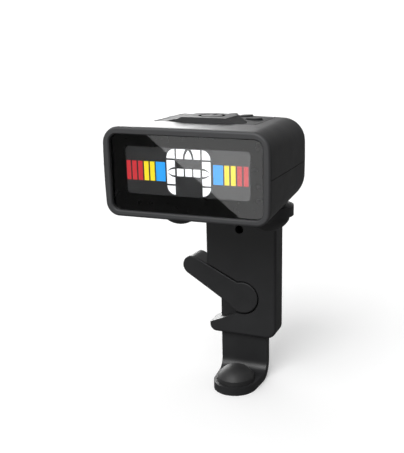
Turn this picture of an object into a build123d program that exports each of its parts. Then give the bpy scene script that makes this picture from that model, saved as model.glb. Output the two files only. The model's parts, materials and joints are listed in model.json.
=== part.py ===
"""Clip-on tuner: a display head swivelling on a ratchet clamp with a sliding L-shaped jaw.

Every sub-part is drawn in head coordinates and moved as a whole when it is exported:
x is to the right, y runs from the front of the bezel towards the back, z is the height above the
underside of the head. The clamp hangs below, so its heights are negative. Millimetres.
"""
import os

from build123d import *

# ---- overall ----
FOOT_BOTTOM = -47.2
CLAMP_REAR = 36.2

# ---- head housing ----
HEAD_HALF_WIDTH = 16.7
SIDE_BULGE = 0.25
SIDE_DRAFT = 0.05
HEAD_HEIGHT = 17.4
HEAD_DEPTH = 28.0
TOP_CROWN = (0.1, 0.5)
TOP_CORNER = (3.4, 5.0)
BOTTOM_CORNER = (2.7, 6.5)
REAR_CORNER = 4.2
BEZEL_DEPTH = 0.7
BEZEL_GROOVE = 0.2
WALL = 1.4
SEAM_Z = 8.7
SEAM_GAP = 0.12
SEAM_LIP = 1.0
SCREW_SEAT = 1.9

# ---- display stack ----
OPENING = (31.0, 14.9)
OPENING_Z = 8.6
WINDOW = (31.9, 15.8)
WINDOW_Y = (0.9, 1.7)
MASK_Y = (1.7, 1.8)
CAVITY_Y = 1.82
LCD_VIEW = (25.4, 9.2)
LCD_VIEW_Z = 9.1
LCD = (28.4, 12.2)
LCD_Y = (1.85, 3.35)
GUIDE_Y = (3.4, 4.4)
BOARD_Y = (5.0, 6.0)

# ---- battery drawer, slides out of the back ----
CELL_RADIUS = 10.0
CELL_THICKNESS = 3.2
CELL_Y = 16.9
CELL_Z = 3.4
DRAWER_HALF_WIDTH = 11.4
DRAWER_FRONT = 6.4
DRAWER_Z = (2.5, 7.9)
SLIDING_GAP = 0.35

# ---- top controls ----
PANEL_X = 10.8
PANEL_Y = (9.6, 26.3)
PANEL_CORNER = (0.8, 4.0)
PANEL_DROP = 0.05
PANEL_RECESS = 1.0
PANEL_GAP = 0.3
POWER_Y = (9.7, 19.0)
POWER_BASE_X = 7.9
POWER_TOP_X = 4.75
POWER_SETBACK = 0.4
POWER_LOW = 17.2
POWER_TOP = 18.55
SMALL_BUTTON_CENTRE_Y = 16.6
SMALL_BUTTON_RING = 7.9
SMALL_BUTTON_ANGLES = {"mode_button": 11.0, "pitch_up_button": 56.0, "pitch_down_button": 84.0}
SMALL_BUTTON = (3.4, 2.0)
CAP_LOW = 16.95
CAP_TOP = 17.98
KEY_BOARD_Z = (12.4, 13.2)
SWITCH_TOP = 14.4
STEM_END = 14.85

# ---- clamp ----
SWIVEL_Y = 20.4
PIN_RADIUS = 2.4
JAW_TOP = -0.3
JAW_BOTTOM = -2.4
PAD_X = 10.2
PAD_RADIUS = 4.35
PAD_BAND = 1.3
PAD_DOME = 2.6
PAD_SEAT = 0.25
PAD_STEM = 1.5
# The origin lies between the tips of the two upper pads, where the clamp sits on its headstock.
SEAT_Z = JAW_BOTTOM + PAD_SEAT - PAD_BAND - PAD_DOME
JAW_END_RADIUS = 5.3
BODY_HALF_WIDTH = 8.7
BODY_FRONT = 30.4
FRONT_WALL = 1.8
COVER_FRONT = 34.9
BODY_BOTTOM = (-35.45, -35.85)
BODY_CORNERS = (1.7, 2.4)
NOSE_X = -8.2
COVER_SCREWS = [(-7.35, -5.0), (-7.35, -14.0), (7.35, -5.0), (7.35, -31.0)]
HOLE_X = -0.25
HOLE_Z = -9.2
HOLE_RADIUS = 1.0

# ---- sliding jaw ----
SLIDE_HALF_WIDTH = 5.8
SLIDE_Y = (32.5, 34.6)
SLIDE_TOP = -17.5
FOOT_TOP = -45.24
FOOT_PAD_Y = 26.3
FOOT_END_RADIUS = 5.25
RACK_X = (-1.9, 2.6)
RACK_Z = (-34.8, -20.2)
TOOTH = 0.5
TOOTH_PITCH = 1.0
BEND_INSIDE = 2.4
BEND_OUTSIDE = 4.4

# ---- release lever ----
HUB_X = 0.3
HUB_Z = -26.0
HUB_RADIUS = 3.9
ARM_END = (-12.4, -19.1)
ARM_END_RADIUS = 2.4
ARM_ROOT = (0.1, -26.3)
ARM_ROOT_RADIUS = 3.1
ARM_THICK_FROM = 10.0
THUMB_REST = ((-1.5, -30.3), (-8.0, -33.0))
LEVER_PIN_RADIUS = 0.7
BOSS_RADIUS = 1.3


def block(x, y, z):
    """Box filling the three (low, high) ranges."""
    size = (x[1] - x[0], y[1] - y[0], z[1] - z[0])
    middle = ((x[0] + x[1]) / 2, (y[0] + y[1]) / 2, (z[0] + z[1]) / 2)
    return Pos(*middle) * Box(*size)


def post(x, y, z, radius):
    """Upright cylinder at (x, y) between two heights."""
    return Pos(x, y, (z[0] + z[1]) / 2) * Cylinder(radius, z[1] - z[0])


def axle(x, z, y, radius):
    """Cylinder along y at (x, z) between two depths."""
    return Pos(x, (y[0] + y[1]) / 2, z) * Rot(90, 0, 0) * Cylinder(radius, y[1] - y[0])


def plate(outline, y):
    """A sketch drawn as (x, z), thickened between two depths."""
    return Pos(0, y[1], 0) * (Rot(90, 0, 0) * extrude(outline, y[1] - y[0]))


def rounded(size, radius, centre_z):
    """Rounded rectangle in (x, z) around the middle of the head."""
    return Pos(0, centre_z) * RectangleRounded(size[0], size[1], radius)


def edges_at(shape, axis, value, tolerance=0.02):
    """Edges lying wholly in the plane axis = value."""
    return shape.edges().filter_by_position(axis, value - tolerance, value + tolerance)


# ---- head housing ----

def between(ends, y):
    """Value at depth y of a dimension given at the front and at the back of the head."""
    return ends[0] + (ends[1] - ends[0]) * y / HEAD_DEPTH


def head_outline(inset, y):
    """Section of the head at depth y: crowned top, slightly bulging sides, round corners."""
    half = HEAD_HALF_WIDTH - between((0, SIDE_DRAFT), y) - inset
    low, high = inset, HEAD_HEIGHT - inset
    middle = (low + high) / 2
    bottom = Line((-half, low), (half, low))
    right = ThreePointArc((half, low), (half + SIDE_BULGE, middle), (half, high))
    top = ThreePointArc((half, high), (0, high + between(TOP_CROWN, y)), (-half, high))
    left = ThreePointArc((-half, high), (-half - SIDE_BULGE, middle), (-half, low))
    face = make_face([bottom, right, top, left])
    upper = face.vertices().filter_by_position(Axis.Y, high - 0.01, high + 0.01)
    face = fillet(upper, between(TOP_CORNER, y) - inset)
    lower = face.vertices().filter_by_position(Axis.Y, low - 0.01, low + 0.01)
    return fillet(lower, between(BOTTOM_CORNER, y) - inset)


def head_form(inset, front):
    """The head from a given depth to its rounded back, inset on every side."""
    back = HEAD_DEPTH - inset
    sections = [Pos(0, y, 0) * (Rot(90, 0, 0) * head_outline(inset, y)) for y in (front, back)]
    body = loft(sections, ruled=True)
    return fillet(edges_at(body, Axis.Y, back), REAR_CORNER - inset)


def housing_wall():
    """Hollow housing with a seat for the window at the front."""
    seat = plate(rounded((WINDOW[0] + 0.1, WINDOW[1] + 0.1), 1.95, OPENING_Z), (0, CAVITY_Y + 0.01))
    return head_form(0, BEZEL_DEPTH + BEZEL_GROOVE) - head_form(WALL, CAVITY_Y) - seat


def seam_ring(outer_inset, inner_inset, z):
    """Thin ring following the housing wall between two heights."""
    ring = head_form(outer_inset, CAVITY_Y + 0.2) - head_form(inner_inset, CAVITY_Y)
    return ring & block((-20, 20), (-1, 40), z)


def screw_posts(z, radius):
    """Four corner bosses that take the housing screws."""
    return [post(x, y, z, radius) for x in (-13.3, 13.3) for y in (8.6, 23.0)]


def shell_upper():
    wall = housing_wall() & block((-20, 20), (0, 40), (SEAM_Z + SEAM_GAP / 2, 20))
    rebate = seam_ring(WALL / 2 - 0.05, WALL, (SEAM_Z, SEAM_Z + SEAM_LIP + 0.15))
    recess = panel_plan(0) - head_form(PANEL_RECESS, 0)
    button_well = block((-9.6, 9.6), (PANEL_Y[0] + 1.2, PANEL_Y[1] - 0.7), (15, 17.0))
    shell = wall - rebate - recess - button_well
    for boss in screw_posts((SEAM_Z + 1.3, HEAD_HEIGHT - WALL + 0.2), 1.5):
        shell += boss
    for pilot in screw_posts((SEAM_Z + 1.0, 14.0), 0.65):
        shell -= pilot
    for x in (-11.4, 11.4):
        shell += block((x - 0.6, x + 0.6), (12.0, 20.0), (KEY_BOARD_Z[1], HEAD_HEIGHT - WALL + 0.2))
    return shell


def shell_lower():
    wall = housing_wall() & block((-20, 20), (0, 40), (-1, SEAM_Z - SEAM_GAP / 2))
    lip = seam_ring(WALL / 2, WALL, (SEAM_Z - 1.5, SEAM_Z + SEAM_LIP))
    shell = wall + lip
    solid_form = head_form(0.1, CAVITY_Y)
    for base in screw_posts((0, SCREW_SEAT + 0.55), 2.0):
        shell += base & solid_form
    for boss in screw_posts((SCREW_SEAT, SEAM_Z + 1.2), 1.5):
        shell += boss
    for bore in screw_posts((-1, SEAM_Z + 2), 0.85):
        shell -= bore
    for counterbore in screw_posts((-1, SCREW_SEAT), 1.4):
        shell -= counterbore
    gap = SLIDING_GAP
    half = DRAWER_HALF_WIDTH + gap
    shell -= block((-half, half), (24, 40), (DRAWER_Z[0] - gap, DRAWER_Z[1] + gap))
    shell -= post(0, SWIVEL_Y, (-1, 3), PIN_RADIUS + 0.05)
    return shell


def front_bezel():
    """Frame around the window; a step behind its face leaves a fine groove before the housing."""
    face = plate(head_outline(0, 0), (0, BEZEL_DEPTH))
    face = fillet(edges_at(face, Axis.Y, 0), 0.5)
    step = plate(head_outline(0.35, 0), (0.3, BEZEL_DEPTH + BEZEL_GROOVE - 0.02))
    frame = face + step - plate(rounded(OPENING, 1.7, OPENING_Z), (-1, 3))
    inner = edges_at(frame, Axis.Y, 0).filter_by(lambda edge: abs(edge.center().X) < OPENING[0] / 2 + 0.1
                                                 and 1.0 < edge.center().Z < HEAD_HEIGHT - 1.0)
    return chamfer(inner, 0.2)


def display_window():
    return plate(rounded(WINDOW, 1.9, OPENING_Z), WINDOW_Y)


def display_mask():
    sheet = plate(rounded(WINDOW, 1.9, OPENING_Z), MASK_Y)
    return sheet - plate(rounded(LCD_VIEW, 0.8, LCD_VIEW_Z), (1, 3))


def lcd_panel():
    return plate(rounded(LCD, 0.3, LCD_VIEW_Z), LCD_Y)


def light_guide():
    return plate(rounded((LCD[0] - 1.6, LCD[1] - 1.0), 0.3, LCD_VIEW_Z), GUIDE_Y)


def lcd_holder():
    """Open frame that keeps the display and the light guide square on the board."""
    frame = plate(rounded((29.8, 13.2), 1.5, LCD_VIEW_Z - 0.3), (LCD_Y[0], BOARD_Y[0]))
    frame -= plate(rounded((LCD[0] + 0.1, LCD[1] + 0.1), 0.35, LCD_VIEW_Z), (1, GUIDE_Y[1] + 0.05))
    frame -= block((-13.6, 13.6), (4, 6), (LCD_VIEW_Z + 4.3, LCD_VIEW_Z + 5.5))
    return frame - block((-13.6, 13.6), (4, 6), (LCD_VIEW_Z - 5.5, LCD_VIEW_Z + 3.9))


def zebra_strip():
    """Rubber connector strip pressed between the display glass and the board."""
    return block((-12.8, 12.8), (GUIDE_Y[1] + 0.05, BOARD_Y[0]), (LCD_VIEW_Z + 4.35, LCD_VIEW_Z + 5.4))


def main_board():
    board = plate(rounded((29.6, 12.8), 1.3, 9.0), BOARD_Y)
    for x in (-13.3, 13.3):
        board -= block((x - 1.0, x + 1.0), (4, 7), (14.2, 16))
    return board


def processor():
    """Square tuner chip with a row of leads on each side."""
    top = BOARD_Y[1]
    chip = block((-3.0, 3.0), (top + 0.1, top + 1.0), (9.4, 12.2))
    for i in range(8):
        x = -2.45 + 0.7 * i
        chip += block((x - 0.14, x + 0.14), (top, top + 0.35), (8.9, 9.6))
        chip += block((x - 0.14, x + 0.14), (top, top + 0.35), (12.0, 12.7))
    return chip


def backlight_leds():
    """Three side-firing lamps under the lower edge of the light guide."""
    low = LCD_VIEW_Z - 5.4
    return [block((x - 0.8, x + 0.8), (GUIDE_Y[1] + 0.05, BOARD_Y[0]), (low, low + 1.1))
            for x in (-8.0, 0.0, 8.0)]


# ---- power ----

def coin_cell():
    can = post(0, CELL_Y, (CELL_Z + 0.4, CELL_Z + CELL_THICKNESS), CELL_RADIUS)
    can = fillet(can.edges().sort_by(Axis.Z)[-1], 0.5)
    return can + post(0, CELL_Y, (CELL_Z, CELL_Z + 0.5), CELL_RADIUS - 1.2)


def battery_drawer():
    """Tray that carries the coin cell and closes the back of the head."""
    low, high = DRAWER_Z
    half = DRAWER_HALF_WIDTH
    tray = block((-half + 0.2, half - 0.2), (DRAWER_FRONT, HEAD_DEPTH - 1), (low + 0.1, 6.4))
    tray -= post(0, CELL_Y, (low - 1, 9), CELL_RADIUS - 1.0)
    tray -= post(0, CELL_Y, (CELL_Z, 9), CELL_RADIUS + 0.05)
    door = block((-half, half), (HEAD_DEPTH - 1.1, HEAD_DEPTH), DRAWER_Z)
    door = fillet(door.edges().filter_by(Axis.Y), 0.8)
    groove = Pos(0, HEAD_DEPTH + 0.5, (low + high) / 2) * Box(9, 1.8, 1.2)
    tray = tray + door - fillet(groove.edges().filter_by(Axis.Y), 0.5)
    tray -= post(0, CELL_Y, (CELL_Z, 9), CELL_RADIUS + 0.05)
    return tray & head_form(0, CAVITY_Y)


def contact_negative():
    """Flat spring blade on the floor of the head, under the cell."""
    blade = block((-2.0, 2.0), (BOARD_Y[1], 15.4), (1.5, 1.8))
    tab = block((-2.0, 2.0), (BOARD_Y[1], BOARD_Y[1] + 0.3), (1.5, 4.6))
    dimple = Pos(0, 13.6, 1.75) * Cone(0.9, 0.4, 0.4, align=(Align.CENTER, Align.CENTER, Align.MIN))
    return blade + tab + dimple


def contact_positive():
    """Spring blade above the cell, fixed to the board."""
    blade = block((-3.0, 3.0), (BOARD_Y[1], 17.0), (8.2, 8.5))
    slot = block((-1.0, 1.0), (9.0, 15.5), (8, 9))
    tab = block((-3.0, 3.0), (BOARD_Y[1], BOARD_Y[1] + 0.3), (7.6, 8.5))
    return blade + tab - slot


# ---- top controls ----

def panel_plan(gap):
    """Upright prism with the plan of the inset top plate: tight front corners, wide back ones."""
    prism = block((-PANEL_X + gap, PANEL_X - gap), (PANEL_Y[0] + gap, PANEL_Y[1] - gap), (15, 20))
    upright = prism.edges().filter_by(Axis.Z)
    prism = fillet(upright.sort_by(Axis.Y)[:2], PANEL_CORNER[0])
    return fillet(prism.edges().filter_by(Axis.Z).sort_by(Axis.Y)[-2:], PANEL_CORNER[1] - gap)


def power_plan(gap=0.0):
    """Plan of the power button: straight front, bow-shaped back."""
    front, back = POWER_Y
    straight = Line((-POWER_BASE_X, front), (POWER_BASE_X, front))
    bow = ThreePointArc((POWER_BASE_X, front), (0, back), (-POWER_BASE_X, front))
    plan = make_face([straight, bow])
    return offset(plan, gap) if gap else plan


def power_button():
    """Raised platform with a flat front and hollow flanks that run out into the panel."""
    low, high = POWER_LOW, POWER_TOP
    shoulder = low + 0.75 * (high - low)
    left = Spline((-POWER_BASE_X, low), (-POWER_TOP_X - 0.65, shoulder), (-POWER_TOP_X, high),
                  tangents=[(1, 0.35), (1, 0.9)])
    right = Spline((POWER_TOP_X, high), (POWER_TOP_X + 0.65, shoulder), (POWER_BASE_X, low),
                   tangents=[(1, -0.9), (1, -0.35)])
    top = Line((-POWER_TOP_X, high), (POWER_TOP_X, high))
    foot = Polyline((POWER_BASE_X, low), (POWER_BASE_X, low - 0.15), (-POWER_BASE_X, low - 0.15),
                    (-POWER_BASE_X, low))
    cap = plate(make_face([left, top, right, foot]), POWER_Y)
    front = POWER_Y[0]
    wedge = Polyline((front - 1, low - 0.01), (front + 0.05, low - 0.01),
                     (front + POWER_SETBACK, high + 0.01), (front - 1, high + 0.01), close=True)
    cap -= Plane.YZ * extrude(make_face(wedge), 10, both=True)
    cap &= Pos(0, 0, 15) * extrude(power_plan(), 5)
    return cap + post(0, 14.2, (STEM_END, low), 1.6)


def leaf_outline():
    """Pointed leaf, the shape of the three small buttons."""
    length, width = SMALL_BUTTON
    upper = ThreePointArc((-length / 2, 0), (0, width / 2), (length / 2, 0))
    lower = ThreePointArc((length / 2, 0), (0, -width / 2), (-length / 2, 0))
    return make_face([upper, lower])


def button_place(name):
    """Where a small button sits on the ring round the power button."""
    turn = Rot(0, 0, SMALL_BUTTON_ANGLES[name])
    return Pos(0, SMALL_BUTTON_CENTRE_Y, 0) * turn * Pos(SMALL_BUTTON_RING, 0, 0)


def small_button(name):
    height = CAP_TOP - CAP_LOW
    cap = extrude(leaf_outline(), height)
    cap = chamfer(edges_at(cap, Axis.Z, height), 0.15)
    stem = post(0, 0, (STEM_END, CAP_LOW + 0.2), 0.7)
    return button_place(name) * (Pos(0, 0, CAP_LOW) * cap + stem)


def top_panel():
    """Inset plate following the crown of the head, with clearance openings for the buttons."""
    sheet = (panel_plan(PANEL_GAP) & head_form(PANEL_DROP, 0)) - head_form(PANEL_RECESS, 0)
    sheet -= Pos(0, 0, 12) * extrude(power_plan(0.25), 10)
    hole = extrude(offset(leaf_outline(), 0.25), 10)
    for name in SMALL_BUTTON_ANGLES:
        sheet -= button_place(name) * Pos(0, 0, 12) * hole
    return sheet


def key_board():
    board = block((-12.2, 12.2), (8.8, 26.3), KEY_BOARD_Z)
    for boss in screw_posts((10, 16), 1.7):
        board -= boss
    return board


def key_switches():
    """Four tact switches, one under each button."""
    seats = [Pos(0, 14.2, 0)]
    seats += [button_place(name) for name in SMALL_BUTTON_ANGLES]
    group = []
    for seat in seats:
        base = seat * Pos(0, 0, KEY_BOARD_Z[1] + 0.4) * Box(2.6, 2.6, 0.8)
        group.append(base + seat * post(0, 0, (KEY_BOARD_Z[1] + 0.7, SWITCH_TOP), 0.7))
    return group


def piezo_disc():
    """Vibration pickup bonded to the floor of the head beside the swivel."""
    brass = post(-7.9, 14.2, (WALL, WALL + 0.2), 3.1)
    return brass + post(-7.9, 14.2, (WALL + 0.2, WALL + 0.4), 2.2)


def housing_screws():
    """Four self-tapping screws from below."""
    low = SCREW_SEAT - 0.8
    screws = []
    for shank, head in zip(screw_posts((low, 13.5), 0.65), screw_posts((low, SCREW_SEAT), 1.3)):
        cross = Pos(head.center().X, head.center().Y, low) * (Box(1.5, 0.35, 0.6) + Box(0.35, 1.5, 0.6))
        screws.append(shank + head - cross)
    return screws


# ---- swivel ----

def swivel_pin():
    shaft = post(0, SWIVEL_Y, (JAW_BOTTOM + 0.1, 2.1), PIN_RADIUS)
    groove = post(0, SWIVEL_Y, (1.5, 1.9), PIN_RADIUS + 1) - post(0, SWIVEL_Y, (1.5, 1.9), PIN_RADIUS - 0.4)
    return shaft - groove


def swivel_clip():
    """Snap ring in the groove of the swivel pin, above the floor of the head."""
    ring = post(0, SWIVEL_Y, (1.5, 1.9), 3.5) - post(0, SWIVEL_Y, (1, 3), PIN_RADIUS - 0.4)
    return ring - block((-0.7, 0.7), (SWIVEL_Y, SWIVEL_Y + 5), (1, 3))


def swivel_washer():
    return post(0, SWIVEL_Y, (JAW_TOP, -0.05), 4.6) - post(0, SWIVEL_Y, (-2, 1), PIN_RADIUS + 0.1)


# ---- clamp ----

def dome_pad():
    """Rubber pad seated at z = 0 with its dome upwards and a stem below."""
    dome_radius = (PAD_RADIUS**2 + PAD_DOME**2) / (2 * PAD_DOME)
    ball = Pos(0, 0, PAD_BAND + PAD_DOME - dome_radius) * Sphere(dome_radius)
    cap = ball & post(0, 0, (PAD_BAND - 0.01, 10), PAD_RADIUS + 1)
    band = post(0, 0, (0, PAD_BAND), PAD_RADIUS)
    return cap + band + post(0, 0, (-1.2, 0), PAD_STEM)


def upper_pad(side):
    return Pos(side * PAD_X, SWIVEL_Y, JAW_BOTTOM + PAD_SEAT) * Rot(180, 0, 0) * dome_pad()


def lower_pad():
    return Pos(0, FOOT_PAD_Y, FOOT_TOP - PAD_SEAT) * dome_pad()


def pad_seat(x, y, face_z, down):
    """Shallow dish and stem hole that receive a pad."""
    dish = post(x, y, tuple(sorted((face_z, face_z - down * PAD_SEAT))), PAD_RADIUS + 0.2)
    deep = face_z - down * (PAD_SEAT + 1.2)
    return dish + post(x, y, tuple(sorted((face_z, deep))), PAD_STEM)


def arm_outline(margin=0.0):
    """Tapered arm running from the hub up to its round end."""
    root = Pos(*ARM_ROOT) * Circle(ARM_ROOT_RADIUS + margin)
    tip = Pos(*ARM_END) * Circle(ARM_END_RADIUS + margin)
    return make_hull(root.edges() + tip.edges())


def notch_outline(reach):
    """Opening on the left of the clamp body, from the arm at rest down to the thumb rest."""
    swept = make_face(Polyline(ARM_END, (HUB_X, HUB_Z), *THUMB_REST, (-16, -37.2), (-16, -19), close=True))
    keep = Pos(reach - 10, -26) * Rectangle(20, 40)
    return (arm_outline(0.35) + swept) & keep


def body_outline():
    """Front view of the clamp body; its lower left corner is the nose of the thumb rest."""
    half = BODY_HALF_WIDTH
    left, right = (NOSE_X, BODY_BOTTOM[0]), (half, BODY_BOTTOM[1])
    face = make_face(Polyline(left, right, (half, JAW_TOP), (-half, JAW_TOP), (-half, -30.0),
                              (NOSE_X, -30.0), close=True))
    face = fillet(face.vertices().sort_by_distance(right)[:1], BODY_CORNERS[1])
    return fillet(face.vertices().sort_by_distance(left)[:1], BODY_CORNERS[0])


def hub_pocket(y, clearance):
    """Room for the lever hub and the arc its arm sweeps."""
    hub = axle(HUB_X, HUB_Z, y, HUB_RADIUS + clearance)
    return hub + plate(notch_outline(HUB_X), y)


def clamp_frame():
    """Upper jaw and front of the clamp body, moulded in one piece."""
    body = plate(body_outline(), (BODY_FRONT, COVER_FRONT))
    body = fillet(edges_at(body, Axis.Y, BODY_FRONT), 0.7)
    body -= plate(notch_outline(-6.1), (BODY_FRONT - 1, COVER_FRONT + 1))
    body -= hub_pocket((BODY_FRONT - 1, BODY_FRONT + FRONT_WALL + 0.4), 0.3)
    channel = SLIDE_HALF_WIDTH + 0.3
    body -= block((-channel, channel), (BODY_FRONT + FRONT_WALL, 40), (-60, -4.5))
    body -= axle(HOLE_X, HOLE_Z, (BODY_FRONT - 1, BODY_FRONT + FRONT_WALL + 1), HOLE_RADIUS)
    depth = JAW_TOP - JAW_BOTTOM
    jaw = Pos(0, SWIVEL_Y, JAW_BOTTOM) * extrude(SlotCenterToCenter(2 * PAD_X, 2 * JAW_END_RADIUS), depth)
    neck = block((-BODY_HALF_WIDTH, BODY_HALF_WIDTH), (SWIVEL_Y, COVER_FRONT), (JAW_BOTTOM, JAW_TOP))
    frame = body + jaw + neck
    for side in (-1, 1):
        frame -= pad_seat(side * PAD_X, SWIVEL_Y, JAW_BOTTOM, -1)
    frame -= post(0, SWIVEL_Y, (JAW_BOTTOM + 0.1, 1), PIN_RADIUS)
    for x, z in COVER_SCREWS:
        frame -= axle(x, z, (BODY_FRONT + 1.4, COVER_FRONT + 1), 0.55)
    return frame


def clamp_cover():
    """Back plate of the clamp body, holding the slide in its channel and the lever pin."""
    cover = plate(body_outline(), (COVER_FRONT, CLAMP_REAR))
    cover = fillet(edges_at(cover, Axis.Y, CLAMP_REAR), 0.7)
    cover -= plate(notch_outline(-6.1), (COVER_FRONT - 1, CLAMP_REAR + 1))
    cover -= axle(HUB_X, HUB_Z, (COVER_FRONT - 1, CLAMP_REAR + 1), LEVER_PIN_RADIUS)
    for x, z in COVER_SCREWS:
        cover -= axle(x, z, (COVER_FRONT - 1, CLAMP_REAR + 1), 0.6)
        cover -= axle(x, z, (CLAMP_REAR - 0.7, CLAMP_REAR + 1), 1.05)
    return cover


def cover_screws():
    screws = []
    for x, z in COVER_SCREWS:
        screw = axle(x, z, (BODY_FRONT + 1.5, CLAMP_REAR - 0.3), 0.55)
        screw += axle(x, z, (CLAMP_REAR - 0.7, CLAMP_REAR - 0.1), 1.0)
        screw -= Pos(x, CLAMP_REAR - 0.1, z) * (Box(1.3, 0.5, 0.3) + Box(0.3, 0.5, 1.3))
        screws.append(screw)
    return screws


# ---- release lever ----

def release_lever():
    """Flush hub with its arm; outside the body the arm is as thick as the whole clamp."""
    front = (BODY_FRONT, BODY_FRONT + FRONT_WALL)
    hub = axle(HUB_X, HUB_Z, front, HUB_RADIUS)
    arm = plate(arm_outline(), front)
    grip = plate(arm_outline(), (BODY_FRONT, CLAMP_REAR - 0.3))
    grip -= axle(HUB_X, HUB_Z, (front[1], 40), ARM_THICK_FROM)
    lever = hub + arm + grip
    lever = fillet(edges_at(lever, Axis.Y, BODY_FRONT), 0.3)
    boss = axle(HUB_X, HUB_Z, (front[1] - 0.1, COVER_FRONT - 0.3), BOSS_RADIUS)
    nose = make_face(Polyline((HUB_X + 0.9, HUB_Z + 0.7), (HUB_X + 1.5, HUB_Z), (HUB_X + 0.9, HUB_Z - 0.7),
                              close=True))
    boss += plate(nose, (SLIDE_Y[0], SLIDE_Y[1]))
    groove = axle(HUB_X, HUB_Z, (front[1] - 0.9, front[1]), 3.2)
    groove -= axle(HUB_X, HUB_Z, (0, 40), 1.7)
    bore = axle(HUB_X, HUB_Z, (BODY_FRONT + 0.6, 40), LEVER_PIN_RADIUS + 0.05)
    return lever - groove + boss - bore


def lever_pin():
    return axle(HUB_X, HUB_Z, (BODY_FRONT + 0.65, CLAMP_REAR - 0.1), LEVER_PIN_RADIUS)


def lever_spring():
    """Flat two-turn return spring in the groove behind the hub."""
    wire = 0.17
    start = BODY_FRONT + FRONT_WALL - 0.66
    coil = Helix(pitch=0.38, height=0.57, radius=2.45)
    path = Pos(HUB_X, start, HUB_Z) * Rot(-90, 0, 0) * coil
    section = Plane(origin=path @ 0, z_dir=path % 0) * Circle(wire)
    return sweep(section, path=path)


# ---- sliding jaw ----

def foot_outline():
    """Plan of the foot: as wide as the slide at the back, closing on a round front end."""
    centre = Pos(0, FOOT_PAD_Y) * Circle(FOOT_END_RADIUS)
    root = Pos(0, (SLIDE_Y[0] + SLIDE_Y[1]) / 2) * Rectangle(2 * SLIDE_HALF_WIDTH, SLIDE_Y[1] - SLIDE_Y[0])
    return make_hull(centre.edges() + root.edges())


def rack_cutout():
    """Long opening in the slide whose right-hand side carries the ratchet teeth."""
    slot = make_face(Polyline((RACK_X[0], RACK_Z[0]), (RACK_X[1], RACK_Z[0]), (RACK_X[1], RACK_Z[1]),
                              (RACK_X[0], RACK_Z[1]), close=True))
    slot = plate(slot, (SLIDE_Y[0] - 1, SLIDE_Y[1] + 1))
    z = RACK_Z[0] + 0.6
    while z + TOOTH_PITCH < RACK_Z[1]:
        tooth = make_face(Polyline((RACK_X[1] + 0.01, z), (RACK_X[1] - TOOTH, z + 0.15),
                                   (RACK_X[1] + 0.01, z + TOOTH_PITCH - 0.1), close=True))
        slot -= plate(tooth, (SLIDE_Y[0] - 1, SLIDE_Y[1] + 1))
        z += TOOTH_PITCH
    return slot


def bend_profile():
    """Side view of the slide and foot as (y, z), one bent strip."""
    toe = FOOT_PAD_Y - FOOT_END_RADIUS - 1
    front, back = SLIDE_Y
    face = make_face(Polyline((toe, FOOT_BOTTOM), (back, FOOT_BOTTOM), (back, SLIDE_TOP), (front, SLIDE_TOP),
                              (front, FOOT_TOP), (toe, FOOT_TOP), close=True))
    face = fillet(face.vertices().sort_by_distance((front, FOOT_TOP))[:1], BEND_INSIDE)
    return fillet(face.vertices().sort_by_distance((back, FOOT_BOTTOM))[:1], BEND_OUTSIDE)


def jaw_slide():
    """L-shaped strip: ratchet slide above, foot with the lower pad below."""
    strip = Plane.YZ * extrude(bend_profile(), SLIDE_HALF_WIDTH, both=True)
    jaw = strip & (Pos(0, 0, FOOT_BOTTOM - 1) * extrude(foot_outline(), SLIDE_TOP - FOOT_BOTTOM + 2))
    jaw -= pad_seat(0, FOOT_PAD_Y, FOOT_TOP, 1)
    jaw -= post(0, FOOT_PAD_Y, (FOOT_TOP, FOOT_TOP + 2), PAD_RADIUS + 0.2)
    return jaw - rack_cutout()


def nodes():
    """Every sub-part by node name."""
    built = {
        "shell_upper": shell_upper(),
        "shell_lower": shell_lower(),
        "front_bezel": front_bezel(),
        "display_window": display_window(),
        "display_mask": display_mask(),
        "lcd_panel": lcd_panel(),
        "light_guide": light_guide(),
        "lcd_holder": lcd_holder(),
        "zebra_strip": zebra_strip(),
        "main_board": main_board(),
        "processor": processor(),
        "backlight_leds": backlight_leds(),
        "coin_cell": coin_cell(),
        "battery_drawer": battery_drawer(),
        "contact_negative": contact_negative(),
        "contact_positive": contact_positive(),
        "top_panel": top_panel(),
        "power_button": power_button(),
        "key_board": key_board(),
        "key_switches": key_switches(),
        "piezo_disc": piezo_disc(),
        "housing_screws": housing_screws(),
        "swivel_pin": swivel_pin(),
        "swivel_clip": swivel_clip(),
        "swivel_washer": swivel_washer(),
        "clamp_frame": clamp_frame(),
        "clamp_cover": clamp_cover(),
        "cover_screws": cover_screws(),
        "upper_pad_left": upper_pad(-1),
        "upper_pad_right": upper_pad(1),
        "release_lever": release_lever(),
        "lever_pin": lever_pin(),
        "lever_spring": lever_spring(),
        "jaw_slide": jaw_slide(),
        "lower_pad": lower_pad(),
    }
    for name in SMALL_BUTTON_ANGLES:
        built[name] = small_button(name)
    return built


os.makedirs("parts", exist_ok=True)
placement = Pos(0, -SWIVEL_Y, -SEAT_Z)
for node, shape in nodes().items():
    if isinstance(shape, list):
        shape = Compound(children=[solid for item in shape for solid in item.solids()])
    export_step(placement * shape, f"parts/{node}.step")
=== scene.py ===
"""Looks for the clip-on tuner: procedural materials, the lit display, studio light and camera.

Lengths are in metres in the frame's own axes, except where a comment says millimetres.
"""
import json
import math

import bmesh
import bpy
from mathutils import Matrix, Vector


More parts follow.
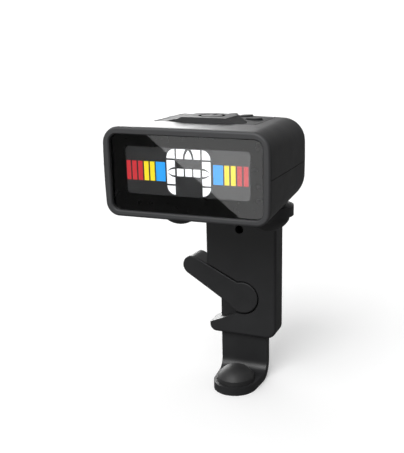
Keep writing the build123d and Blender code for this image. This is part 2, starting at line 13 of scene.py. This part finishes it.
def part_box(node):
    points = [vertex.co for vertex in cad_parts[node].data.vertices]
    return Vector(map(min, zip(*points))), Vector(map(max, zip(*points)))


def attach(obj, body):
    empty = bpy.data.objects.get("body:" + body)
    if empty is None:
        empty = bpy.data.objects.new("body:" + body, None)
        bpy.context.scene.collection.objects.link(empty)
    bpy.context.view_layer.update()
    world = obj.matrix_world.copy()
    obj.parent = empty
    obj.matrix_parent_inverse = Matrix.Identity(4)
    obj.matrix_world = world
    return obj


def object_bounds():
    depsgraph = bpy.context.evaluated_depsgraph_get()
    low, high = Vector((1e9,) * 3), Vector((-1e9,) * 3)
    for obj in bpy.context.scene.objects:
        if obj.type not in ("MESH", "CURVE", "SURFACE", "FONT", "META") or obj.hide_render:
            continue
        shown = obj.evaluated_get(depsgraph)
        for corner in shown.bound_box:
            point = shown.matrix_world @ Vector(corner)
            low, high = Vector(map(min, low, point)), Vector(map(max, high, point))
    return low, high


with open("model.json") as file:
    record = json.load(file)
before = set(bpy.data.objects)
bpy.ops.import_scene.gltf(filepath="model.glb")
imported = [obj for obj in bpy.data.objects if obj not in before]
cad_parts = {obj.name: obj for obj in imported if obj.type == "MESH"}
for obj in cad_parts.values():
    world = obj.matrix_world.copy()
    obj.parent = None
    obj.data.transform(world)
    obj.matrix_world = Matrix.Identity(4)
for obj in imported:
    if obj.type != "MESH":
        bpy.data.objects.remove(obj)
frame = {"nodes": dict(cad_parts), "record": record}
CAD_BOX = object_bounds()
MM = 0.001

# Camera: where it stands, where it looks (degrees), and its lens (mm).
CAMERA_PLACE = (0.0562, -0.1438, 0.0400)
CAMERA_AZIMUTH = 17.43
CAMERA_ELEVATION = 16.71
CAMERA_ROLL = 0.19
CAMERA_LENS = 57.9
CAMERA_SENSOR = 36
CAMERA_SHIFT = (-0.1558, 0.0616)
CAMERA_CLIP_START = 0.005

# Floor: half its side, its colour to the camera and to bounced light, and a faint glow that only
# the camera sees.
FLOOR_HALF = 6.0
FLOOR_SEEN = (0.9, 0.9, 0.9)
FLOOR_BOUNCE = (0.14, 0.14, 0.14)
FLOOR_GLOW = 0.15

# Studio: even light, soft bright lobes (direction, sharpness, strength) and the seen backdrop.
WHITE = (1, 1, 1)
STUDIO_EVEN = 0.15
STUDIO_LOBES = [
    ((-0.7, 0.7, 0.2), 12, 1.5),
    ((0, 0, 1), 2, 0.6),
    ((-0.75, -0.6, 0.4), 3, 0.6),
]
BACKDROP_STRENGTH = 1.05

# Lamps: direction or place, angles in degrees, size and strength.
KEY_FROM = (-0.08, -0.77, 0.63)
KEY_SPREAD = 38
KEY_STRENGTH = 2.2
WINDOW_GLARE = {
    "place": (-0.0523, -0.4016, -0.038),
    "turn": (180, 0, 55.12),
    "size": (0.48, 0.24),
    "energy": 0.7,
}
TOP_GLARE = {
    "place": (-0.8, 0.9, 0.24),
    "turn": (-80, 0, 40),
    "size": (0.8, 0.4),
    "energy": 10.0,
}

# Black plastic: its colour, and in millimetres its grain depth and the radius of its worn edges, which
# are also painted paler as an edge highlight.
BLACK = (0.021, 0.0213, 0.0225)
GRAIN_DEPTH = 0.012
EDGE_RADIUS = 0.12

# Note field, in millimetres from the middle of the display: the left column's two sides, its ends
# and the heights of its end segments, the gaps, and the leaf halfway down with its hollow.
NOTE_SHIFT = 0.33
NOTE_OUTER, NOTE_INNER = -4.48, -2.78
NOTE_TOP, NOTE_BOTTOM = 4.42, -4.35
TOP_END, BOTTOM_END = 1.82, 1.72
SEGMENT_GAP = 0.33
LEAF_HEIGHT, LEAF_HOLLOW = 0.62, 0.97

# Arch in the top bar and the flanks beside it, and the three blocks of the middle bar (mm).
ARCH_SPREAD, ARCH_DROP = 0.72, 0.15
FLANK_OFFSET, FLANK_SPREAD = 0.55, 0.55
BLOCK_CENTRES = (-1.7, 0, 1.7)
BLOCK_HALF_WIDTH, BLOCK_HALF_HEIGHT = 0.7, 0.72

# Tuning bars (mm): the blue one, then a row of narrow ones, cut off at the edge of the display.
BLUE_BAR = (4.9, 6.85)
BAR_START, BAR_STEP, BAR_WIDTH = 7.13, 1.26, 0.94
YELLOW_BARS, RED_BARS = range(2), range(2, 5)
BAR_SHIFT = 0.43
BAR_TOP, BAR_BOTTOM = 1.8, -1.9
BAR_LIMIT = 12.6
THINNEST_BAR = 0.05

# Thickness of every lit segment and its distance from the display panel (mm).
SEGMENT_THICKNESS, SEGMENT_STANDOFF = 0.03, 0.01

# Power symbol (mm, degrees): the open ring, half its opening, the tick's ends and its place.
RING_RADIUS, RING_WIDTH, RING_OPENING = 2.45, 0.55, 32
TICK_START, TICK_PAST_RING = 0.9, 0.6
SYMBOL_SETBACK, SYMBOL_THICKNESS = 0.2, 0.02


# ---------------------------------------------------------------- node helpers

def new_material(name):
    """A new node material, its tree and its Principled shader."""
    material = bpy.data.materials.new(name)
    material.use_nodes = True
    tree = material.node_tree
    return material, tree, tree.nodes["Principled BSDF"]


def add(tree, kind, **settings):
    """A node with its properties set."""
    node = tree.nodes.new(kind)
    for key, value in settings.items():
        setattr(node, key, value)
    return node


def feed(tree, socket, value):
    """Links an output to the socket, or sets a plain value or an RGB colour on it."""
    if isinstance(value, bpy.types.NodeSocket):
        tree.links.new(value, socket)
    elif socket.type == "RGBA":
        socket.default_value = (*value, 1)
    else:
        socket.default_value = value


def connect(tree, node, values):
    """Feeds the node's inputs by name."""
    for name, value in values.items():
        feed(tree, node.inputs[name], value)


def calculate(tree, operation, *terms):
    """Result of a Math node on outputs or plain numbers."""
    node = add(tree, "ShaderNodeMath", operation=operation)
    for socket, term in zip(node.inputs, terms):
        feed(tree, socket, term)
    return node.outputs[0]


def noise(tree, scale, detail, stretch=None):
    """Noise in object space; scale is in features per metre."""
    place = add(tree, "ShaderNodeTexCoord").outputs["Object"]
    if stretch:
        mapping = add(tree, "ShaderNodeMapping")
        connect(tree, mapping, {"Vector": place, "Scale": stretch})
        place = mapping.outputs["Vector"]
    texture = add(tree, "ShaderNodeTexNoise")
    connect(tree, texture, {"Vector": place, "Scale": scale, "Detail": detail, "Roughness": 0.55})
    return texture.outputs["Fac"]


def remap(tree, value, low, high, start=0.3, end=0.7):
    """Maps a value from start..end, by default the usual span of noise, to low..high."""
    node = add(tree, "ShaderNodeMapRange")
    connect(tree, node, {"Value": value, "From Min": start, "From Max": end})
    connect(tree, node, {"To Min": low, "To Max": high})
    return node.outputs["Result"]


def blend_colours(tree, factor, first, second):
    """Mixes two colours, plain or from a node, by a factor."""
    node = add(tree, "ShaderNodeMix", data_type="RGBA")
    connect(tree, node, {"Factor": factor, "A": first, "B": second})
    return node.outputs["Result"]


def scaled(colour, factor):
    """The colour made darker or lighter by a factor."""
    return tuple(channel * factor for channel in colour)


def mottled(tree, cloud, colour, low, high=1.0):
    """The colour scaled from low to high by a noise value."""
    return blend_colours(tree, remap(tree, cloud, 0.0, 1.0), scaled(colour, low), scaled(colour, high))


def bump(tree, shader, heights):
    """Chains bumps of (height, distance in mm, strength) into the shader's normal."""
    normal = None
    for height, distance, strength in heights:
        node = add(tree, "ShaderNodeBump")
        connect(tree, node, {"Height": height, "Distance": distance * MM, "Strength": strength})
        if normal:
            tree.links.new(normal, node.inputs["Normal"])
        normal = node.outputs["Normal"]
    tree.links.new(normal, shader.inputs["Normal"])


def edge_mask(tree, radius):
    """Near 1 on edges within radius (mm), 0 on faces."""
    soft = add(tree, "ShaderNodeBevel", samples=4)
    connect(tree, soft, {"Radius": radius * MM})
    plain = add(tree, "ShaderNodeNewGeometry")
    alike = add(tree, "ShaderNodeVectorMath", operation="DOT_PRODUCT")
    tree.links.new(soft.outputs["Normal"], alike.inputs[0])
    tree.links.new(plain.outputs["Normal"], alike.inputs[1])
    return remap(tree, alike.outputs["Value"], 1.0, 0.0, start=0.65, end=0.98)


# ---------------------------------------------------------------- materials

def moulded_plastic(name, colour, roughness, edge_wear_and_highlight=1.5, shine=0.5):
    """Fine spark-eroded plastic with slightly polished edges, paler from rubbed wear and a painted edge
    highlight.
    """
    material, tree, shader = new_material(name)
    cloud = noise(tree, 260, 4)
    edge = edge_mask(tree, EDGE_RADIUS)
    rough = remap(tree, cloud, roughness - 0.03, roughness + 0.04)
    connect(tree, shader, {
        # Paler edges: partly rubbed wear, partly a painted edge highlight on every edge however the light
        # falls.
        "Base Color": blend_colours(tree, edge, mottled(tree, cloud, colour, 0.88), scaled(colour, edge_wear_and_highlight)),
        "Roughness": calculate(tree, "MULTIPLY_ADD", edge, -0.1, rough),
        "Specular IOR Level": shine,
    })
    fine = (noise(tree, 9000, 2), GRAIN_DEPTH, 0.6)
    coarse = (noise(tree, 3200, 2), GRAIN_DEPTH * 1.3, 0.35)
    bump(tree, shader, [fine, coarse])
    return material


def rubber(name, colour):
    """Matte moulded rubber, faintly dusty, with a soft sheen."""
    material, tree, shader = new_material(name)
    dust = noise(tree, 420, 5)
    connect(tree, shader, {
        "Base Color": mottled(tree, dust, colour, 1.0, 1.35),
        "Roughness": remap(tree, dust, 0.5, 0.62),
        "Sheen Weight": 0.05,
        "Sheen Roughness": 0.5,
    })
    bump(tree, shader, [(noise(tree, 6000, 3), 0.014, 0.6)])
    return material


def clear_window(name):
    """Polished clear cover with a trace of handling smears."""
    material, tree, shader = new_material(name)
    connect(tree, shader, {
        "Base Color": (0.96, 0.97, 0.98),
        "Transmission Weight": 1.0,
        "IOR": 1.49,
        "Roughness": remap(tree, noise(tree, 300, 3), 0.0, 0.012),
    })
    bump(tree, shader, [(noise(tree, 45, 1), 0.0005, 0.02)])
    return material


def smooth_plastic(name, colour, roughness, shine=0.5):
    """Plain moulded or printed surface with slight unevenness."""
    material, tree, shader = new_material(name)
    cloud = noise(tree, 500, 3)
    connect(tree, shader, {
        "Base Color": mottled(tree, cloud, colour, 0.88),
        "Roughness": remap(tree, cloud, roughness * 0.85, roughness * 1.15),
        "Specular IOR Level": shine,
    })
    bump(tree, shader, [(noise(tree, 4000, 2), 0.004, 0.3)])
    return material


def circuit_board(name):
    """Green solder mask over faint copper tracks."""
    material, tree, shader = new_material(name)
    tracks = add(tree, "ShaderNodeTexBrick")
    connect(tree, tracks, {
        "Vector": add(tree, "ShaderNodeTexCoord").outputs["Object"],
        "Scale": 420,
        "Mortar Size": 0.06,
        "Color1": (0.012, 0.11, 0.05),
        "Color2": (0.015, 0.13, 0.06),
        "Mortar": (0.05, 0.24, 0.1),
    })
    connect(tree, shader, {
        "Base Color": tracks.outputs["Color"],
        "Roughness": remap(tree, noise(tree, 900, 3), 0.25, 0.4),
    })
    bump(tree, shader, [(tracks.outputs["Fac"], 0.01, 0.4)])
    return material


def metal(name, colour, roughness, stretch):
    """Machined or rolled metal with fine drawn lines."""
    material, tree, shader = new_material(name)
    lines = noise(tree, 3500, 4, stretch)
    connect(tree, shader, {
        "Base Color": mottled(tree, noise(tree, 350, 3), colour, 0.85),
        "Metallic": 1.0,
        "Roughness": remap(tree, lines, roughness * 0.7, roughness * 1.3),
    })
    bump(tree, shader, [(lines, 0.004, 0.35)])
    return material


def lit(name, colour, strength=1.0):
    """Display segment lit from behind, a little uneven from its light guide."""
    material, tree, shader = new_material(name)
    connect(tree, shader, {
        "Base Color": scaled(colour, 0.25),
        "Emission Color": mottled(tree, noise(tree, 220, 2), colour, 0.93),
        "Emission Strength": strength,
        "Roughness": 0.5,
    })
    return material


def make_materials():
    """Every finish on the tuner by name."""
    return {
        "shell": moulded_plastic("shell_plastic", BLACK, 0.44),
        # The bezel is the shell's black plastic made 1.9 times paler: painted light on its front face,
        # not a paler plastic.
        "bezel": moulded_plastic("bezel_plastic_painted_light", scaled(BLACK, 1.9), 0.5, edge_wear_and_highlight=1.3),
        "panel": moulded_plastic("panel_plastic", BLACK, 0.58, shine=0.3),
        "buttons": moulded_plastic("button_plastic", BLACK, 0.55, shine=0.28),
        "clamp": moulded_plastic("clamp_plastic", BLACK, 0.46),
        "slide": moulded_plastic("slide_plastic", scaled(BLACK, 0.9), 0.42),
        "lever": moulded_plastic("lever_plastic", BLACK, 0.45),
        "pad": rubber("pad_rubber", (0.014, 0.014, 0.0145)),
        "window": clear_window("window_clear"),
        "mask": smooth_plastic("mask_ink", (0.004, 0.004, 0.0045), 0.3),
        "display": smooth_plastic("display_film", (0.034, 0.034, 0.034), 0.4, shine=0.35),
        "light_guide": smooth_plastic("light_guide_acrylic", (0.75, 0.78, 0.82), 0.2),
        "holder": smooth_plastic("holder_plastic", (0.6, 0.6, 0.57), 0.5),
        "connector_rubber": rubber("connector_rubber", (0.1, 0.1, 0.11)),
        "circuit_board": circuit_board("circuit_board"),
        "chip": smooth_plastic("chip_package", (0.015, 0.015, 0.017), 0.55),
        "lamp": smooth_plastic("lamp_package", (0.85, 0.8, 0.45), 0.3),
        "steel": metal("steel", (0.55, 0.55, 0.56), 0.32, (1, 1, 12)),
        "contact": metal("contact_brass", (0.72, 0.52, 0.23), 0.25, (1, 10, 1)),
        "washer": smooth_plastic("washer_nylon", (0.62, 0.61, 0.56), 0.45),
        "red": lit("segment_red", (0.60, 0.022, 0.03)),
        "yellow": lit("segment_yellow", (1.0, 0.78, 0.012)),
        "blue": lit("segment_blue", (0.02, 0.38, 0.95)),
        "white": lit("segment_white", WHITE, 1.1),
        "symbol": smooth_plastic("symbol_ink", (0.003, 0.003, 0.003), 0.9, shine=0.0),
    }


def dress_nodes(materials):
    """Gives each CAD node the finish of its record slot."""
    slots = {entry["node"]: entry["material_slot"] for entry in frame["record"]["subparts"]}
    for name, node in frame["nodes"].items():
        node.data.materials.clear()
        node.data.materials.append(materials[slots[name]])


# ---------------------------------------------------------------- display and symbols

def plate_mesh(name, loops, plane, thickness):
    """Plates with the given (x, z) outlines and thickness in mm, whose backs lie at y = plane."""
    mesh = bpy.data.meshes.new(name)
    shape = bmesh.new()
    for loop in loops:
        front = [shape.verts.new((x * MM, plane - thickness * MM, z * MM)) for x, z in loop]
        back = [shape.verts.new((x * MM, plane, z * MM)) for x, z in loop]
        shape.faces.new(front)
        shape.faces.new(back[::-1])
        for i in range(len(loop)):
            j = (i + 1) % len(loop)
            shape.faces.new((front[i], back[i], back[j], front[j]))
    bmesh.ops.recalc_face_normals(shape, faces=shape.faces)
    shape.to_mesh(mesh)
    shape.free()
    return mesh


def add_piece(name, mesh, material, body):
    """A visible piece of the object that rides on a body."""
    mesh.materials.append(material)
    piece = bpy.data.objects.new(name, mesh)
    bpy.context.scene.collection.objects.link(piece)
    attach(piece, body)


def rectangle(x0, x1, z0, z1):
    """Outline of a rectangle."""
    return [(x0, z0), (x1, z0), (x1, z1), (x0, z1)]


def curve(function, start, end, steps=16):
    """Points (x, z) of function(t) from t = start to t = end."""
    return [function(start + (end - start) * i / steps) for i in range(steps + 1)]


def mirrored(loop):
    """The outline on the other side of x = 0."""
    return [(-x, z) for x, z in reversed(loop)]


def column_segments(middle):
    """Left column from top to bottom: rounded end, body, leaf, body, rounded end."""
    top, bottom = middle + NOTE_TOP, middle + NOTE_BOTTOM
    shoulder, heel = top - TOP_END, bottom + BOTTOM_END
    width = NOTE_INNER - NOTE_OUTER

    def rounded_end(base, height):
        """Quarter of an ellipse standing on its base, or hanging from it."""
        def point(t):
            return NOTE_INNER - width * math.cos(t), base + height * math.sin(t)

        return [(NOTE_INNER, base)] + curve(point, 0, math.pi / 2)

    def leaf_edge(height):
        """Curve from the column's inner side to the middle of its outer side."""
        return curve(lambda t: (NOTE_INNER - width * t, middle + height * (1 - t * t)), 0, 1)

    def body(end, hollow):
        """Straight end and sides, hollowed out around the leaf."""
        return [(NOTE_OUTER, end), (NOTE_INNER, end)] + leaf_edge(hollow)

    return [
        rounded_end(shoulder, top - shoulder),
        body(shoulder - SEGMENT_GAP, LEAF_HOLLOW),
        leaf_edge(LEAF_HEIGHT) + leaf_edge(-LEAF_HEIGHT)[-2::-1],
        body(heel + SEGMENT_GAP, -LEAF_HOLLOW),
        rounded_end(heel, bottom - heel),
    ]


def top_bar_segments(middle):
    """Left and right parts of the top bar, and the arch between them."""
    top = middle + NOTE_TOP
    base = top - TOP_END
    inner = NOTE_INNER + SEGMENT_GAP

    def flank(offset, spread, crest):
        """Left flank that leans in towards the crest."""
        return curve(lambda t: (-offset - spread * (1 - t * t), base + (crest - base) * t), 0, 1)

    bar = [(inner, top), (inner, base)] + flank(FLANK_OFFSET, FLANK_SPREAD, top)
    arch = flank(0, ARCH_SPREAD, top - ARCH_DROP)
    return [bar, mirrored(bar), arch + mirrored(arch)[1:]]


def block_segments(middle):
    """Blocks of the middle bar."""
    low, high = middle - BLOCK_HALF_HEIGHT, middle + BLOCK_HALF_HEIGHT
    return [rectangle(x - BLOCK_HALF_WIDTH, x + BLOCK_HALF_WIDTH, low, high) for x in BLOCK_CENTRES]


def note_segments(middle):
    """All segments of the note field around the height of its middle."""
    column = column_segments(middle)
    bars = top_bar_segments(middle) + block_segments(middle)
    loops = column + [mirrored(loop) for loop in column] + bars
    return [[(x + NOTE_SHIFT, z) for x, z in loop] for loop in loops]


def bar_spans():
    """Colour, near side and far side of each bar, counted outwards from the note."""
    spans = [("blue", *BLUE_BAR)]
    for colour, places in (("yellow", YELLOW_BARS), ("red", RED_BARS)):
        for place in places:
            near = BAR_START + BAR_STEP * place
            spans.append((colour, near, near + BAR_WIDTH))
    return spans


def bar_segments(middle):
    """Outlines of the tuning bars on both sides by colour, cut off at the edge of the display."""
    bars = {"red": [], "yellow": [], "blue": []}
    for side in (-1, 1):
        for colour, near, far in bar_spans():
            left, right = sorted((side * near + BAR_SHIFT, side * far + BAR_SHIFT))
            left, right = max(left, -BAR_LIMIT), min(right, BAR_LIMIT)
            if right - left > THINNEST_BAR:
                bars[colour].append(rectangle(left, right, middle + BAR_BOTTOM, middle + BAR_TOP))
    return bars


def build_display(materials):
    """Lit segments standing just in front of the display panel."""
    low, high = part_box("lcd_panel")
    plane = low.y - SEGMENT_STANDOFF * MM
    middle = (low.z + high.z) / 2 / MM
    for colour, loops in bar_segments(middle).items():
        name = f"display_bars_{colour}"
        mesh = plate_mesh(name, loops, plane, SEGMENT_THICKNESS)
        add_piece(name, mesh, materials[colour], "head")
    mesh = plate_mesh("display_note", note_segments(middle), plane, SEGMENT_THICKNESS)
    add_piece("display_note", mesh, materials["white"], "head")


def build_power_symbol(materials):
    """Open ring and tick lying on the top of the power button."""
    low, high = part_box("power_button")
    place = (0, (low.y + high.y) / 2 + SYMBOL_SETBACK * MM, high.z)
    outer, inner = RING_RADIUS + RING_WIDTH / 2, RING_RADIUS - RING_WIDTH / 2
    start, end = math.radians(RING_OPENING), math.radians(360 - RING_OPENING)
    arc = curve(lambda t: (math.sin(t), math.cos(t)), start, end, 40)
    ring = [(x * outer, z * outer) for x, z in arc] + [(x * inner, z * inner) for x, z in reversed(arc)]
    tick = rectangle(-RING_WIDTH / 2, RING_WIDTH / 2, TICK_START, RING_RADIUS + TICK_PAST_RING)
    mesh = plate_mesh("power_symbol", [ring, tick], 0.0, SYMBOL_THICKNESS)
    mesh.transform(Matrix.Translation(place) @ Matrix.Rotation(math.radians(-90), 4, "X"))
    add_piece("power_symbol", mesh, materials["symbol"], "power")


# ---------------------------------------------------------------- studio

def add_to_scene(name, data):
    """A camera, lamp or stage object in the scene."""
    item = bpy.data.objects.new(name, data)
    bpy.context.scene.collection.objects.link(item)
    return item


def look_matrix(azimuth, elevation, roll):
    """Camera axes for a viewpoint at the given azimuth and elevation, in degrees."""
    a, e = math.radians(azimuth), math.radians(elevation)
    back = Vector((math.sin(a) * math.cos(e), -math.cos(a) * math.cos(e), math.sin(e)))
    right = Vector((0, 0, 1)).cross(back).normalized()
    up = back.cross(right)
    turn = Matrix((right, up, back)).transposed().to_4x4()
    return turn @ Matrix.Rotation(math.radians(roll), 4, "Z")


def build_camera():
    """Camera in front of the object, above it and to its right."""
    data = bpy.data.cameras.new("camera")
    data.lens = CAMERA_LENS
    data.sensor_width = CAMERA_SENSOR
    data.shift_x, data.shift_y = CAMERA_SHIFT
    data.clip_start = CAMERA_CLIP_START
    camera = add_to_scene("camera", data)
    look = look_matrix(CAMERA_AZIMUTH, CAMERA_ELEVATION, CAMERA_ROLL)
    camera.matrix_world = Matrix.Translation(CAMERA_PLACE) @ look
    bpy.context.scene.camera = camera


def floor_material():
    """White to the camera, grey to bounced light, so that the dark object isn't lit from below."""
    material, tree, shader = new_material("floor_paper")
    seen = add(tree, "ShaderNodeLightPath").outputs["Is Camera Ray"]
    connect(tree, shader, {
        "Base Color": blend_colours(tree, seen, FLOOR_BOUNCE, FLOOR_SEEN),
        "Roughness": remap(tree, noise(tree, 60, 2), 0.8, 0.9),
        "Specular IOR Level": 0.0,
        "Emission Color": WHITE,
        "Emission Strength": calculate(tree, "MULTIPLY", seen, FLOOR_GLOW),
    })
    return material


def build_floor():
    """Plain floor level with the foot at rest."""
    level = CAD_BOX[0].z
    corners = [(x * FLOOR_HALF, y * FLOOR_HALF, level) for x, y in ((-1, -1), (1, -1), (1, 1), (-1, 1))]
    mesh = bpy.data.meshes.new("floor")
    mesh.from_pydata(corners, [], [(0, 1, 2, 3)])
    mesh.materials.append(floor_material())
    add_to_scene("floor", mesh)


def sky_lobe(tree, direction, sharpness, strength):
    """Soft bright patch of the studio around a direction."""
    dot = add(tree, "ShaderNodeVectorMath", operation="DOT_PRODUCT")
    dot.inputs[1].default_value = Vector(direction).normalized()
    tree.links.new(add(tree, "ShaderNodeTexCoord").outputs["Generated"], dot.inputs[0])
    facing = calculate(tree, "MAXIMUM", dot.outputs["Value"], 0.0)
    return calculate(tree, "MULTIPLY", calculate(tree, "POWER", facing, sharpness), strength)


def build_world():
    """Studio lit from overhead and the left, which the camera sees as a plain white backdrop."""
    world = bpy.data.worlds.new("studio")
    bpy.context.scene.world = world
    world.use_nodes = True
    tree = world.node_tree
    light = STUDIO_EVEN
    for direction, sharpness, strength in STUDIO_LOBES:
        light = calculate(tree, "ADD", light, sky_lobe(tree, direction, sharpness, strength))
    studio = tree.nodes["Background"]
    connect(tree, studio, {"Color": WHITE, "Strength": light})
    backdrop = add(tree, "ShaderNodeBackground")
    connect(tree, backdrop, {"Color": WHITE, "Strength": BACKDROP_STRENGTH})
    mix = add(tree, "ShaderNodeMixShader")
    seen = add(tree, "ShaderNodeLightPath").outputs["Is Camera Ray"]
    for socket, source in zip(mix.inputs, (seen, studio.outputs[0], backdrop.outputs[0])):
        tree.links.new(source, socket)
    tree.links.new(mix.outputs[0], tree.nodes["World Output"].inputs["Surface"])


def sheet_light(name, place, turn, size, energy):
    """Rectangular lamp that the camera doesn't see; turn is its rotation in degrees."""
    data = bpy.data.lights.new(name, "AREA")
    data.shape = "RECTANGLE"
    data.size, data.size_y = size
    data.energy = energy
    lamp = add_to_scene(name, data)
    lamp.location = place
    lamp.rotation_euler = [math.radians(angle) for angle in turn]
    lamp.visible_camera = False
    return lamp


def build_lights():
    """Soft key from above in front, a sheet low in front for the window, and one behind for the top."""
    data = bpy.data.lights.new("key", "SUN")
    data.energy = KEY_STRENGTH
    data.angle = math.radians(KEY_SPREAD)
    key = add_to_scene("key", data)
    key.rotation_euler = Vector(KEY_FROM).to_track_quat("Z", "Y").to_euler()
    sheet_light("window_glare", **WINDOW_GLARE)
    glare = sheet_light("top_glare", **TOP_GLARE)
    glare.visible_diffuse = False


build_camera()
all_materials = make_materials()
dress_nodes(all_materials)
build_display(all_materials)
build_power_symbol(all_materials)
build_floor()
build_world()
build_lights()
bpy.context.scene.view_settings.view_transform = "Standard"
